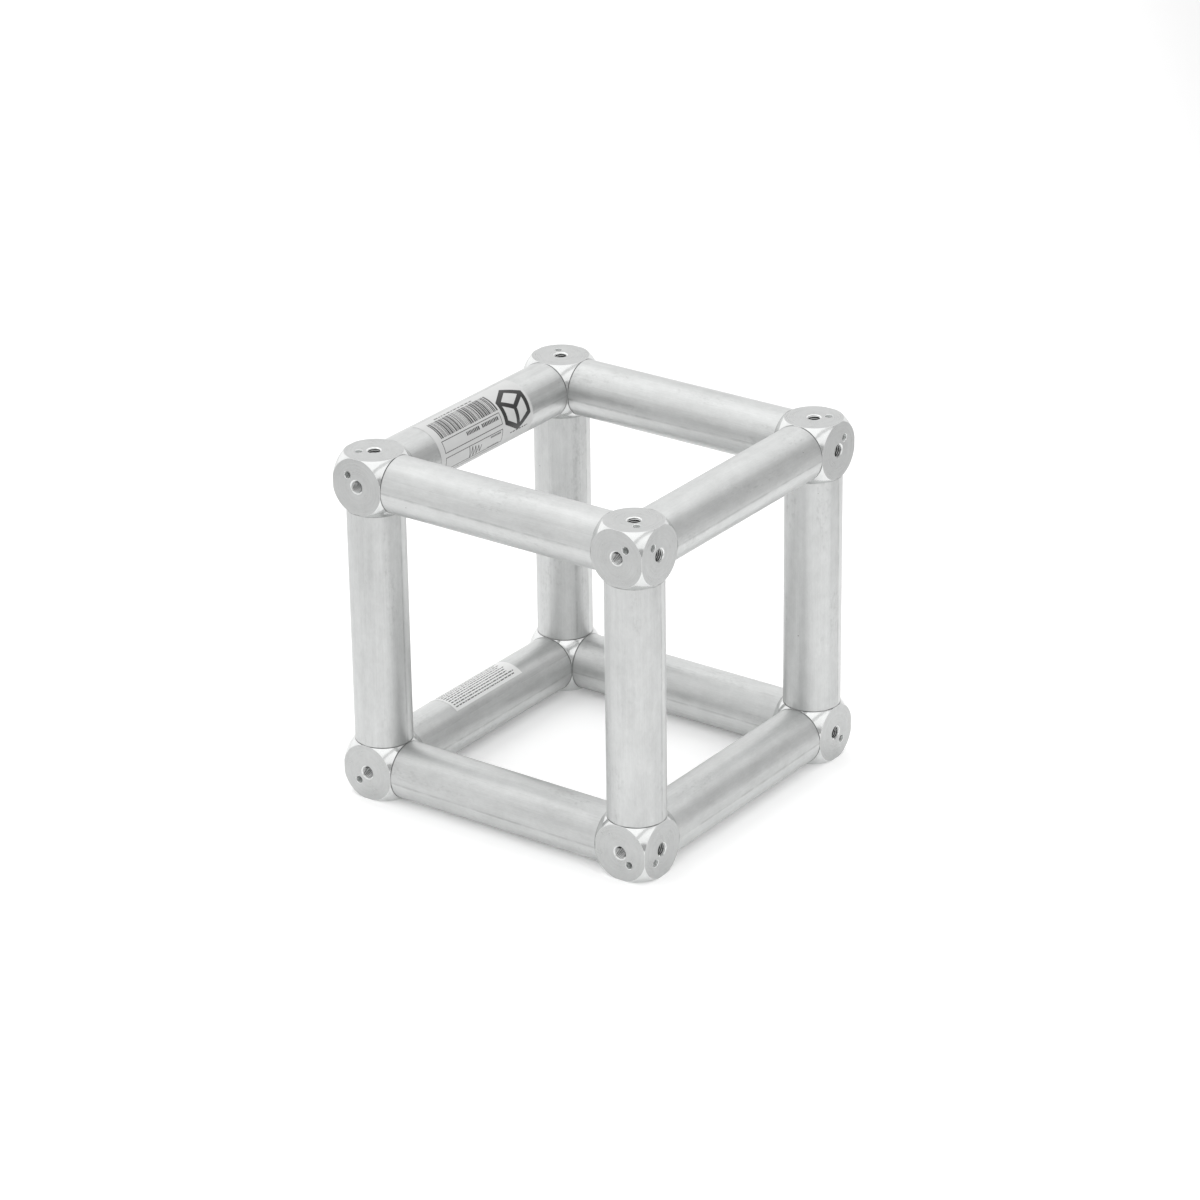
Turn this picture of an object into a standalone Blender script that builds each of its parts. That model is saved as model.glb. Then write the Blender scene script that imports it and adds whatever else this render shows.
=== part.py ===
"""Universal box corner of a square lighting truss, modelled as its separate pieces.

Eight aluminium corner balls carry twelve aluminium tubes as the edges of a cube. Each ball has six flats: three
outer ones, drilled and tapped for truss couplers, and three inner ones, against which the tubes stand. A set screw
joins each tube end to its ball from inside. Two printed labels lie on the tubes.

Frame: metres, +Z up, origin at the cube's centre, where the centre lines of the trusses that join here would meet.
-Y is the front, +X the right.
"""

import math

import bmesh
import bpy
from mathutils import Matrix, Vector

# Driving dimensions.
MODULE = 0.185  # between the centre lines of parallel tubes
TUBE_RADIUS = 0.0175
TUBE_WALL = 0.002
BALL_RADIUS = 0.025
SEAT = TUBE_RADIUS  # from a ball's centre to each of its six flats
GAP = 0.0003  # between pieces that touch

# Threaded hole through the middle of each flat, M8.
BORE_RADIUS = 0.0034
BORE_CHAMFER_RADIUS = 0.0045

# Blind hole for a coupler's locating pin, on the outer flats only.
PIN_HOLE_RADIUS = 0.0023
PIN_HOLE_DEPTH = 0.008
PIN_HOLE_OFFSET = 0.009  # from the threaded hole, towards the flat's outer corner

# Plug fixed inside each end of a tube, tapped to take the set screw.
PLUG_LENGTH = 0.015

# Set screw M8 x 25 with a hexagon socket, driven in through the outer threaded hole.
SCREW_LENGTH = 0.025
SCREW_START = 0.0045  # from the ball's centre, clear of the other two bores
SCREW_CHAMFER = 0.0008
SOCKET_WIDTH = 0.004  # across the hexagon's flats
SOCKET_DEPTH = 0.004

# Labels: printed film wrapped part of the way round a tube, as a length along it and a span of angles about it.
# An angle is 0 towards the cube's inside and 90 degrees at the top of the tube.
FILM = 0.00015
FILM_GAP = 0.0001
ID_LABEL_Y = (-0.0515, 0.0395)
ID_LABEL_ANGLES = (-50.0, 100.0)
NOTICE_LABEL_Y = (-0.035, 0.0315)
NOTICE_LABEL_ANGLES = (51.5, 127.0)

# Faces round each turned surface.
TUBE_SIDES = 32
BALL_SIDES = 32
BORE_SIDES = 12
PIN_HOLE_SIDES = 10
SCREW_SIDES = 12
LABEL_STEP = 11.25  # degrees

MERGE = 0.00001
CUT_MARGIN = 0.001  # how far a cutter reaches past the face it cuts
SMOOTH_ANGLE = math.radians(30)

HALF = MODULE / 2
TUBE_LENGTH = MODULE - 2 * (SEAT + GAP)

# The three pairs of sides, as (name, direction) by axis.
X_SIDES = (("left", -1), ("right", 1))
Y_SIDES = (("front", -1), ("rear", 1))
Z_SIDES = (("bottom", -1), ("top", 1))
AXES = (("x", Vector((1, 0, 0))), ("y", Vector((0, 1, 0))), ("z", Vector((0, 0, 1))))


def clear_scene():
    for old in list(bpy.data.objects):
        bpy.data.objects.remove(old, do_unlink=True)


def collection(name):
    made = bpy.data.collections.new(name)
    bpy.context.scene.collection.children.link(made)
    return made


def metal(name, colour, roughness, metallic=1.0):
    made = bpy.data.materials.new(name)
    made.use_nodes = True
    shader = made.node_tree.nodes["Principled BSDF"]
    shader.inputs["Base Color"].default_value = (*colour, 1.0)
    shader.inputs["Roughness"].default_value = roughness
    shader.inputs["Metallic"].default_value = metallic
    return made


def finished_mesh(source, name):
    """The source's mesh with its modifiers applied, smooth but for its edges. The source is removed."""
    bpy.context.view_layer.update()
    graph = bpy.context.evaluated_depsgraph_get()
    mesh = bpy.data.meshes.new_from_object(source.evaluated_get(graph))
    mesh.name = name
    bpy.data.objects.remove(source, do_unlink=True)
    mesh.shade_smooth()
    mesh.set_sharp_from_angle(angle=SMOOTH_ANGLE)
    return mesh


def mesh_object(name, shape, group):
    mesh = bpy.data.meshes.new(name)
    shape.to_mesh(mesh)
    shape.free()
    made = bpy.data.objects.new(name, mesh)
    group.objects.link(made)
    return made


def turned(name, profile, sides, group, closed):
    """A profile of (radius, height) points turned about Z. It runs down the outer side, top to bottom."""
    shape = bmesh.new()
    points = [shape.verts.new((radius, 0, height)) for radius, height in profile]
    ends = points[1:] + points[:1] if closed else points[1:]
    for start, end in zip(points, ends):
        shape.edges.new((start, end))
    made = mesh_object(name, shape, group)
    turn = made.modifiers.new("Turn", "SCREW")
    turn.axis = "Z"
    turn.steps = sides
    turn.render_steps = sides
    turn.use_merge_vertices = True
    turn.merge_threshold = MERGE
    return made


def cylinder(name, radius, length, sides, group):
    shape = bmesh.new()
    bmesh.ops.create_cone(
        shape, cap_ends=True, segments=sides, radius1=radius, radius2=radius, depth=length
    )
    return mesh_object(name, shape, group)


def as_cutter(cutter):
    cutter.hide_render = True
    cutter.display_type = "WIRE"
    return cutter


def cut(target, cutter, operation="DIFFERENCE"):
    boolean = target.modifiers.new("Cut " + cutter.name, "BOOLEAN")
    boolean.operation = operation
    boolean.solver = "EXACT"
    boolean.object = cutter


def toward(direction):
    """The rotation that carries +Z to a direction."""
    return direction.to_track_quat("Z", "Y").to_euler()


def place(name, mesh, group, material, centre, rotation, parent):
    made = bpy.data.objects.new(name, mesh)
    made.location = centre
    made.rotation_euler = rotation
    made.parent = parent
    if not mesh.materials:
        mesh.materials.append(material)
    group.objects.link(made)
    return made


def drill(axis, cutters):
    """The tapped hole right through a ball along one axis, with a chamfer at the mouth on the outer flat."""
    chamfer_depth = BORE_CHAMFER_RADIUS - BORE_RADIUS
    top = SEAT + CUT_MARGIN
    profile = (
        (0, top),
        (BORE_CHAMFER_RADIUS + CUT_MARGIN, top),
        (BORE_RADIUS, SEAT - chamfer_depth),
        (BORE_RADIUS, -top),
        (0, -top),
    )
    cutter = turned("bore_cutter", profile, BORE_SIDES, cutters, closed=False)
    cutter.rotation_euler = toward(axis)
    return as_cutter(cutter)


def pin_drill(axis, cutters):
    """The blind pin hole in the outer flat that faces along an axis, on that flat's outward diagonal."""
    diagonal = (Vector((1, 1, 1)) - axis).normalized()
    length = PIN_HOLE_DEPTH + CUT_MARGIN
    middle = SEAT - PIN_HOLE_DEPTH + length / 2
    cutter = cylinder("pin_hole_cutter", PIN_HOLE_RADIUS, length, PIN_HOLE_SIDES, cutters)
    cutter.location = axis * middle + diagonal * PIN_HOLE_OFFSET
    cutter.rotation_euler = toward(axis)
    return as_cutter(cutter)


def ball_mesh(group, cutters):
    """The corner ball whose outer flats face +X, +Y and +Z: a ball cut down to a cube, then drilled."""
    shape = bmesh.new()
    bmesh.ops.create_uvsphere(
        shape, u_segments=BALL_SIDES, v_segments=BALL_SIDES // 2, radius=BALL_RADIUS
    )
    ball = mesh_object("ball", shape, group)

    block = bmesh.new()
    bmesh.ops.create_cube(block, size=2 * SEAT)
    cut(ball, as_cutter(mesh_object("flats_cutter", block, cutters)), "INTERSECT")
    for _, axis in AXES:
        cut(ball, drill(axis, cutters))
        cut(ball, pin_drill(axis, cutters))
    return finished_mesh(ball, "corner_ball")


def tube_mesh(group):
    """A tube along Z with a tapped plug fixed in each end. The plugs' bores open into the hollow between them."""
    end = TUBE_LENGTH / 2
    plug_end = end - PLUG_LENGTH
    inside = TUBE_RADIUS - TUBE_WALL
    profile = (
        (BORE_RADIUS, end),
        (TUBE_RADIUS, end),
        (TUBE_RADIUS, -end),
        (BORE_RADIUS, -end),
        (BORE_RADIUS, -plug_end),
        (inside, -plug_end),
        (inside, plug_end),
        (BORE_RADIUS, plug_end),
    )
    return finished_mesh(turned("tube", profile, TUBE_SIDES, group, closed=True), "tube")


def set_screw_mesh(group, cutters):
    """A set screw along Z with its hexagon socket at the top and its point at the bottom."""
    radius = BORE_RADIUS - GAP
    end = SCREW_LENGTH / 2
    profile = (
        (0, end),
        (radius, end),
        (radius, -end + SCREW_CHAMFER),
        (radius - SCREW_CHAMFER, -end),
        (0, -end),
    )
    screw = turned("screw", profile, SCREW_SIDES, group, closed=False)
    corner_radius = SOCKET_WIDTH / 2 / math.cos(math.pi / 6)
    length = SOCKET_DEPTH + CUT_MARGIN
    socket = cylinder("socket_cutter", corner_radius, length, 6, cutters)
    socket.location.z = end - SOCKET_DEPTH + length / 2
    cut(screw, as_cutter(socket))
    return finished_mesh(screw, "joint_screw")


def label(name, span_y, angles, tube_centre, group, material, parent):
    """A sheet of film bent round a tube that lies along Y, with its inner face just clear of the tube."""
    low, high = (math.radians(angle) for angle in angles)
    faces_round = round((angles[1] - angles[0]) / LABEL_STEP)
    inner = TUBE_RADIUS + FILM_GAP
    shape = bmesh.new()
    bmesh.ops.create_grid(shape, x_segments=faces_round, y_segments=1, size=0.5)
    for vert in shape.verts:
        angle = low + (0.5 - vert.co.x) * (high - low)
        along = span_y[0] + (vert.co.y + 0.5) * (span_y[1] - span_y[0])
        vert.co = (inner * math.cos(angle), along, inner * math.sin(angle))
    sheet = mesh_object(name, shape, group)
    film = sheet.modifiers.new("Film", "SOLIDIFY")
    film.thickness = FILM
    film.offset = 1
    film.use_even_offset = True
    place(name, finished_mesh(sheet, name), group, material, tube_centre, (0, 0, 0), parent)


def ball_rotation(right, rear, top):
    """The turn that carries the ball drilled for the (+, +, +) corner to the corner with these signs."""
    quarter = {(1, 1): 0, (-1, 1): 1, (-1, -1): 2, (1, -1): 3}[(right, rear)]
    if top > 0:
        return Matrix.Rotation(quarter * math.pi / 2, 3, "Z").to_euler()
    flipped = Matrix.Rotation(math.pi, 3, "X")
    return (Matrix.Rotation((quarter + 1) * math.pi / 2, 3, "Z") @ flipped).to_euler()


def corners():
    for level, top in Z_SIDES:
        for depth, rear in Y_SIDES:
            for side, right in X_SIDES:
                yield f"{level}_{depth}_{side}", Vector((right, rear, top))


def tubes():
    """Each tube's name, centre and direction."""
    x, y, z = (axis for _, axis in AXES)
    for level, top in Z_SIDES:
        for depth, rear in Y_SIDES:
            yield f"tube_{level}_{depth}", Vector((0, rear, top)) * HALF, x
        for side, right in X_SIDES:
            yield f"tube_{level}_{side}", Vector((right, 0, top)) * HALF, y
    for depth, rear in Y_SIDES:
        for side, right in X_SIDES:
            yield f"post_{depth}_{side}", Vector((right, rear, 0)) * HALF, z


def main():
    clear_scene()
    parts = collection("box_corner")
    cutters = collection("cutters")

    centre = bpy.data.objects.new("cube_centre", None)
    parts.objects.link(centre)

    ball_metal = metal("ball_aluminium", (0.82, 0.83, 0.83), 0.28)
    tube_metal = metal("tube_aluminium", (0.70, 0.71, 0.71), 0.38)
    screw_metal = metal("screw_steel", (0.45, 0.45, 0.46), 0.35)
    film_print = metal("label_film", (0.88, 0.88, 0.87), 0.45, metallic=0.0)

    ball = ball_mesh(parts, cutters)
    screw = set_screw_mesh(parts, cutters)
    for corner, signs in corners():
        ball_centre = signs * HALF
        turn = ball_rotation(*(int(sign) for sign in signs))
        place(f"corner_ball_{corner}", ball, parts, ball_metal, ball_centre, turn, centre)
        for letter, axis in AXES:
            outward = axis * signs.dot(axis)
            screw_centre = ball_centre - outward * (SCREW_START + SCREW_LENGTH / 2)
            screw_name = f"joint_screw_{corner}_{letter}"
            place(screw_name, screw, parts, screw_metal, screw_centre, toward(outward), centre)

    tube = tube_mesh(parts)
    for tube_name, tube_centre, direction in tubes():
        place(tube_name, tube, parts, tube_metal, tube_centre, toward(direction), centre)

    top_left = Vector((-HALF, 0, HALF))
    bottom_left = Vector((-HALF, 0, -HALF))
    label("identification_label", ID_LABEL_Y, ID_LABEL_ANGLES, top_left, parts, film_print, centre)
    label("notice_label", NOTICE_LABEL_Y, NOTICE_LABEL_ANGLES, bottom_left, parts, film_print, centre)


main()
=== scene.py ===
"""Looks of the lighting truss box corner: machined balls, drawn tubes, their set screws and two labels.

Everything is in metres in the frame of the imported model, whose nodes give each piece its place and size.
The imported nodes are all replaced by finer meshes. Each mesh carries its own coordinates in millimetres,
as the "local" attribute, and the materials draw on that, so that their grain stays with the piece.
"""

import math
import random

import bmesh
import bpy
from mathutils import Matrix, Vector


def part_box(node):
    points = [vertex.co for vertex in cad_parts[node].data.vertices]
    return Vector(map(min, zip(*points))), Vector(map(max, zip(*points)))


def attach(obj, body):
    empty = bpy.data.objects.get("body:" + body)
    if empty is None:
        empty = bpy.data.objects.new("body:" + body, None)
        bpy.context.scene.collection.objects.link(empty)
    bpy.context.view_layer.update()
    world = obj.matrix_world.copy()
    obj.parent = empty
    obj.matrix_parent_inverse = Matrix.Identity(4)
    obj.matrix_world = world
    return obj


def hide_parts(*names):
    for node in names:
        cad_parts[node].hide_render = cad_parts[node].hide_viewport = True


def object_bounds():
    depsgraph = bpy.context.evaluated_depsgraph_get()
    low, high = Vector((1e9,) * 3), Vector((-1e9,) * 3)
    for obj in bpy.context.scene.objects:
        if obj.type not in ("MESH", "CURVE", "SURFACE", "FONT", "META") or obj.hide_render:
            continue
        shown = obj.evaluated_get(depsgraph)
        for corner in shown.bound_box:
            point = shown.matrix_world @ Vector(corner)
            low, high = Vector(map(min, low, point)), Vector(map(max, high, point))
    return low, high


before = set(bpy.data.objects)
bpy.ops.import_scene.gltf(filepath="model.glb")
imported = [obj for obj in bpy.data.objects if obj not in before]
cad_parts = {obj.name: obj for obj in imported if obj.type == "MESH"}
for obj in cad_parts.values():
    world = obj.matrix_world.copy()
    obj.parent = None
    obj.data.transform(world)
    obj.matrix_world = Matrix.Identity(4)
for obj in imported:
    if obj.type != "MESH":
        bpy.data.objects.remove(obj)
cad_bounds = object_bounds()

MM = 0.001
SHARP_DEGREES = 30  # edges that turn by more than this stay sharp
WELD = 1e-6  # points this close are made one
HAIR = 1e-7  # less than any real difference in place or angle

# ---------------------------------------------------------------- sizes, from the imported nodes

LEVELS = (("bottom", -1), ("top", 1))
DEPTHS = (("front", -1), ("rear", 1))
SIDES = (("left", -1), ("right", 1))

ball_low, ball_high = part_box("corner_ball_top_rear_right")
HALF = (ball_low.x + ball_high.x) / 2  # from the cube's centre to a tube's centre line
SEAT = (ball_high.x - ball_low.x) / 2  # from a ball's centre to its flats
tube_low, tube_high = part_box("tube_top_front")
TUBE_RADIUS = (tube_high.z - tube_low.z) / 2
JOINT_GAP = 0.12 * MM  # between a tube's end and the ball's flat
TUBE_END = HALF - SEAT - JOINT_GAP  # from a tube's middle to its end
screw_low, screw_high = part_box("joint_screw_top_rear_right_x")
SCREW_LENGTH = screw_high.x - screw_low.x

# Ball: a sphere cut by six flats, all its edges rounded.
BALL_RADIUS = 24.95 * MM
EDGE_RADIUS = 0.15 * MM
FLAT_STEP = 3  # degrees between the points round a flat
FILLET_STEPS = 4
SPHERE_STEPS = 6

# Tapped holes, M8 x 1.25, crossing in a round cavity at the ball's centre.
PITCH = 1.25 * MM
THREAD_MINOR = 3.35 * MM
THREAD_MAJOR = 3.95 * MM
MOUTH_RADIUS = 4.5 * MM
MOUTH_SLOPE = 1.6  # how fast the countersink narrows with depth
CORE_RADIUS = 3.4 * MM
CAVITY_RADIUS = 5.5 * MM
BORE_SIDES = 40
TURN_STEPS = 10  # rings to each turn of the thread
THREAD_FADE = (5.4 * MM, 6.4 * MM)  # where the thread runs out, from the ball's centre

# Pin holes beside the tapped holes, on the outer flats.
PIN_RADIUS = 2.3 * MM
PIN_DEPTH = 8.0 * MM
PIN_OFFSET = 9.0 * MM
PIN_MOUTH = 0.15 * MM
PIN_POINT = 1.3 * MM
PIN_SIDES = 32

# Tubes and the plugs in their ends.
TUBE_WALL = 2.0 * MM
PLUG_LENGTH = 15.0 * MM
TUBE_EDGE = 0.2 * MM
TUBE_SIDES = 128

# Set screws.
SCREW_MAJOR = 3.3 * MM
SCREW_MINOR = 2.8 * MM
SCREW_SIDES = 24
SCREW_TURN_STEPS = 6
SCREW_CHAMFER = 0.7 * MM
SOCKET_WIDTH = 4.0 * MM
SOCKET_DEPTH = 4.0 * MM
SOCKET_CHAMFER = 0.25 * MM
SOCKET_POINT = 1.0 * MM

# Labels, as a span along the tube in millimetres and a span of angles about it in degrees.
FILM_INNER = 17.52
FILM_THICKNESS = 0.09
INK_THICKNESS = 0.012
INK_LIFT = 0.006
SHEET_STEP = 0.9  # the longest side of a sheet's faces
ID_LABEL = ((-51.5, 39.5), (-50.0, 100.0))
NOTICE_LABEL = ((-35.0, 31.5), (51.5, 127.0))


def linked(name, data):
    made = bpy.data.objects.new(name, data)
    bpy.context.scene.collection.objects.link(made)
    return made


def stored_local(mesh):
    """Writes each vertex's place in millimetres to the mesh, for the materials."""
    local = mesh.attributes.new("local", "FLOAT_VECTOR", "POINT")
    for vertex, value in zip(mesh.vertices, local.data):
        value.vector = vertex.co / MM


def finished(shape, name, materials):
    """The mesh of a bmesh whose faces close it, with outward faces and smooth shading but for its edges."""
    bmesh.ops.recalc_face_normals(shape, faces=shape.faces)
    mesh = bpy.data.meshes.new(name)
    shape.to_mesh(mesh)
    shape.free()
    for material in materials:
        mesh.materials.append(material)
    mesh.shade_smooth()
    mesh.set_sharp_from_angle(angle=math.radians(SHARP_DEGREES))
    stored_local(mesh)
    return mesh


def add_grid(shape, rows):
    """Quads between rows of points, each row of the same length."""
    made = [[shape.verts.new(point) for point in row] for row in rows]
    for row, following in zip(made, made[1:]):
        for index in range(len(row) - 1):
            corners = (row[index], row[index + 1], following[index + 1], following[index])
            shape.faces.new(corners)
    return made


def smoothstep(low, high, value):
    t = min(max((value - low) / (high - low), 0.0), 1.0)
    return t * t * (3 - 2 * t)


# ---------------------------------------------------------------- threads


CREST, FLANK, ROOT = 0.125, 0.3125, 0.25  # a thread's crest, its falling flank and its root, in turns


def thread_height(turn):
    """How far a thread's profile stands from its root, 0 to 1, at a place along it in turns."""
    place = turn % 1.0
    if place < CREST:
        return 1.0
    if place < CREST + FLANK:
        return 1.0 - (place - CREST) / FLANK
    if place < CREST + FLANK + ROOT:
        return 0.0
    return (place - (CREST + FLANK + ROOT)) / FLANK


def add_threaded(shape, radius_at, low, high, sides, steps, turn):
    """A threaded wall along Z between two heights. Its grid lines follow the thread, and are cut off level.

    radius_at gives the radius for a height and a place along the thread in turns, and turn carries the wall's
    points to their places.
    """
    rise = PITCH / steps
    first = math.floor(low / rise) - steps
    last = math.ceil(high / rise) + steps
    rows = []
    for side in range(sides + 1):
        share = side / sides
        angle = 2 * math.pi * share
        row = []
        for index in range(first, last + steps + 1):
            height = min(max((index / steps - share) * PITCH, low), high)
            radius = radius_at(height, height / PITCH + share)
            point = Vector((radius * math.cos(angle), radius * math.sin(angle), height))
            row.append(turn @ point)
        rows.append(row)
    add_grid(shape, rows)


# ---------------------------------------------------------------- corner balls

# The rounded ball is the sum of a sharp core and a small sphere: the core is a ball cut down to a cube.
CORE_BALL = BALL_RADIUS - EDGE_RADIUS
CORE_SEAT = SEAT - EDGE_RADIUS
CORE_RIM = math.sqrt(CORE_BALL**2 - CORE_SEAT**2)
CORE_CORNER = math.sqrt(CORE_RIM**2 - CORE_SEAT**2)


def rim_point(angle):
    """The rim of the core's +X flat at an angle round it, kept within the cube's sides."""
    y, z = CORE_RIM * math.cos(angle), CORE_RIM * math.sin(angle)
    if abs(y) > CORE_SEAT:
        y, z = math.copysign(CORE_SEAT, y), math.copysign(CORE_CORNER, z)
    elif abs(z) > CORE_SEAT:
        y, z = math.copysign(CORE_CORNER, y), math.copysign(CORE_SEAT, z)
    return Vector((CORE_SEAT, y, z))


def ball_sector():
    """Rows of points from the rim of the +X flat out to where the next flats' sectors begin."""
    start = math.acos(CORE_SEAT / CORE_BALL)
    rows = []
    for degrees in range(0, 360, FLAT_STEP):
        angle = math.radians(degrees)
        # Where the rim meets a side of the cube it has two corners, so a hair to each side gives a row.
        nudges = (-HAIR, HAIR) if degrees % 90 == 0 else (0,)
        for nudge in nudges:
            rim = rim_point(angle + nudge)
            reach = math.atan(1 / max(abs(math.cos(angle)), abs(math.sin(angle))))
            fillet = min(start, reach)
            tilts = [fillet * step / FILLET_STEPS for step in range(FILLET_STEPS + 1)]
            tilts += [fillet + (reach - fillet) * step / SPHERE_STEPS for step in range(1, SPHERE_STEPS + 1)]
            row = []
            for tilt in tilts:
                around = Vector((0, math.cos(angle), math.sin(angle)))
                normal = Vector((math.cos(tilt), 0, 0)) + around * math.sin(tilt)
                core = normal * CORE_BALL if tilt > start + 1e-9 else rim
                row.append(core + normal * EDGE_RADIUS)
            rows.append(row)
    rows.append(rows[0])
    return rows


def cavity_sector():
    """The round cavity's share round the +X bore."""
    start = math.asin(CORE_RADIUS / CAVITY_RADIUS)
    rows = []
    for side in range(BORE_SIDES + 1):
        angle = 2 * math.pi * side / BORE_SIDES
        reach = math.atan(1 / max(abs(math.cos(angle)), abs(math.sin(angle))))
        around = Vector((0, math.cos(angle), math.sin(angle)))
        row = []
        for step in range(3):
            tilt = start + (reach - start) * step / 2
            row.append((Vector((math.cos(tilt), 0, 0)) + around * math.sin(tilt)) * CAVITY_RADIUS)
        rows.append(row)
    return rows


def permuted(steps):
    """The turn about the cube's diagonal that carries X to X, Y or Z."""
    return Matrix.Rotation(math.radians(120) * steps, 3, Vector((1, 1, 1)))


def tapped_radius(height, turn):
    """A tapped hole's radius, with its chamfered mouth at the flat and its thread running out inside."""
    shown = smoothstep(*THREAD_FADE, height)
    depth = thread_height(-turn) * (THREAD_MAJOR - THREAD_MINOR)
    thread = CORE_RADIUS + (THREAD_MINOR - CORE_RADIUS + depth) * shown
    return max(thread, MOUTH_RADIUS - (SEAT - height) * MOUTH_SLOPE)


def add_pin_hole(shape, turn):
    """A blind drilled hole along Z, its mouth in the plane z = SEAT, on the flat's outward diagonal."""
    diagonal = Vector((1, 1, 0)).normalized() * PIN_OFFSET
    profile = (
        (PIN_RADIUS + PIN_MOUTH, SEAT),
        (PIN_RADIUS, SEAT - PIN_MOUTH),
        (PIN_RADIUS, SEAT - PIN_DEPTH / 2),
        (PIN_RADIUS, SEAT - PIN_DEPTH),
        (0, SEAT - PIN_DEPTH - PIN_POINT),
    )
    rows = []
    for radius, height in profile:
        row = []
        for side in range(PIN_SIDES + 1):
            angle = 2 * math.pi * side / PIN_SIDES
            point = Vector((radius * math.cos(angle), radius * math.sin(angle), height))
            row.append(turn @ (diagonal + point))
        rows.append(row)
    add_grid(shape, rows)


def nearest_core(point):
    """The point of the sharp core nearest to a point outside it."""
    boxed = Vector([min(max(value, -CORE_SEAT), CORE_SEAT) for value in point])
    if boxed.length <= CORE_BALL + 1e-9:
        return boxed
    on_ball = point.normalized() * CORE_BALL
    if max(abs(value) for value in on_ball) <= CORE_SEAT:
        return on_ball
    first, second, third = sorted(range(3), key=lambda axis: -abs(point[axis]))
    found = Vector((0, 0, 0))
    found[first] = math.copysign(CORE_SEAT, point[first])
    side = Vector((point[second], point[third])).normalized() * CORE_RIM
    if abs(side.x) > CORE_SEAT:
        side = Vector((math.copysign(CORE_SEAT, side.x), math.copysign(CORE_CORNER, side.y)))
    found[second] = side.x
    found[third] = side.y
    return found


FACED, POLISHED, BORED, DRILLED, MOUTH = range(5)


def ball_finish(face):
    """Which of the ball's finishes a face has."""
    centre = face.calc_center_median()
    reach = max(abs(value) for value in centre)
    if reach > SEAT - HAIR:
        return FACED
    if centre.length > SEAT and (centre - nearest_core(centre)).length > 0.8 * EDGE_RADIUS:
        return POLISHED
    # Round the nearest axis lie the tapped hole and its mouth, and further off the pin hole.
    aside = math.sqrt(max(centre.length_squared - reach**2, 0.0))
    if aside > MOUTH_RADIUS + PIN_MOUTH:
        return DRILLED
    narrowed = (SEAT - reach) * MOUTH_SLOPE
    shallow = narrowed < MOUTH_RADIUS - THREAD_MAJOR + 0.1 * MM
    on_slope = aside > MOUTH_RADIUS - narrowed - 0.06 * MM
    return MOUTH if shallow and on_slope else BORED


def ball_mesh(materials):
    """A corner ball whose outer flats face +X, +Y and +Z, centred on its own origin."""
    shape = bmesh.new()
    sector = ball_sector()
    cavity = cavity_sector()
    for steps in range(3):
        to_axis = permuted(steps)
        for sign in (1, -1):
            add_grid(shape, [[to_axis @ point * sign for point in row] for row in sector])
            add_grid(shape, [[to_axis @ point * sign for point in row] for row in cavity])
        # Bores are made along Z, and Z comes after two steps of the same turn.
        from_z = permuted(steps - 2)
        bottom = math.sqrt(CAVITY_RADIUS**2 - CORE_RADIUS**2)
        add_threaded(shape, tapped_radius, bottom, SEAT, BORE_SIDES, TURN_STEPS, from_z)
        add_pin_hole(shape, from_z)
        plain = []
        for height in (-bottom, -SEAT):
            row = []
            for side in range(BORE_SIDES + 1):
                angle = 2 * math.pi * side / BORE_SIDES
                point = Vector((CORE_RADIUS * math.cos(angle), CORE_RADIUS * math.sin(angle), height))
                row.append(from_z @ point)
            plain.append(row)
        add_grid(shape, plain)
    bmesh.ops.remove_doubles(shape, verts=shape.verts, dist=WELD)
    bmesh.ops.dissolve_degenerate(shape, edges=shape.edges, dist=HAIR)
    for axis in range(3):
        for sign in (1, -1):
            rim = [
                edge
                for edge in shape.edges
                if edge.is_boundary and all(abs(vert.co[axis] * sign - SEAT) < HAIR for vert in edge.verts)
            ]
            normal = Vector((0, 0, 0))
            normal[axis] = sign
            bmesh.ops.triangle_fill(shape, edges=rim, use_beauty=True, normal=normal)
    for face in shape.faces:
        face.material_index = ball_finish(face)
    mesh = finished(shape, "machined_ball", materials)
    normals = []
    for polygon in mesh.polygons:
        for index in polygon.vertices:
            point = mesh.vertices[index].co
            if polygon.material_index == FACED:
                normals.append(polygon.normal.copy())
            elif polygon.material_index == POLISHED:
                normals.append((point - nearest_core(point)).normalized())
            else:
                normals.append(Vector((0, 0, 0)))
    mesh.normals_split_custom_set(normals)
    return mesh


def ball_rotation(right, rear, top):
    """The turn that carries the ball made for the (+, +, +) corner to the corner with these signs."""
    quarter = {(1, 1): 0, (-1, 1): 1, (-1, -1): 2, (1, -1): 3}[(right, rear)]
    if top > 0:
        return Matrix.Rotation(quarter * math.pi / 2, 3, "Z")
    flipped = Matrix.Rotation(math.pi, 3, "X")
    return Matrix.Rotation((quarter + 1) * math.pi / 2, 3, "Z") @ flipped


# ---------------------------------------------------------------- tubes and screws


def turned_mesh(name, profile, sides, materials):
    """A closed profile of (radius, height) points turned about Z."""
    shape = bmesh.new()
    rows = []
    for side in range(sides + 1):
        angle = 2 * math.pi * side / sides
        rows.append([Vector((r * math.cos(angle), r * math.sin(angle), z)) for r, z in profile + profile[:1]])
    add_grid(shape, rows)
    bmesh.ops.remove_doubles(shape, verts=shape.verts, dist=WELD)
    return finished(shape, name, materials)


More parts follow.
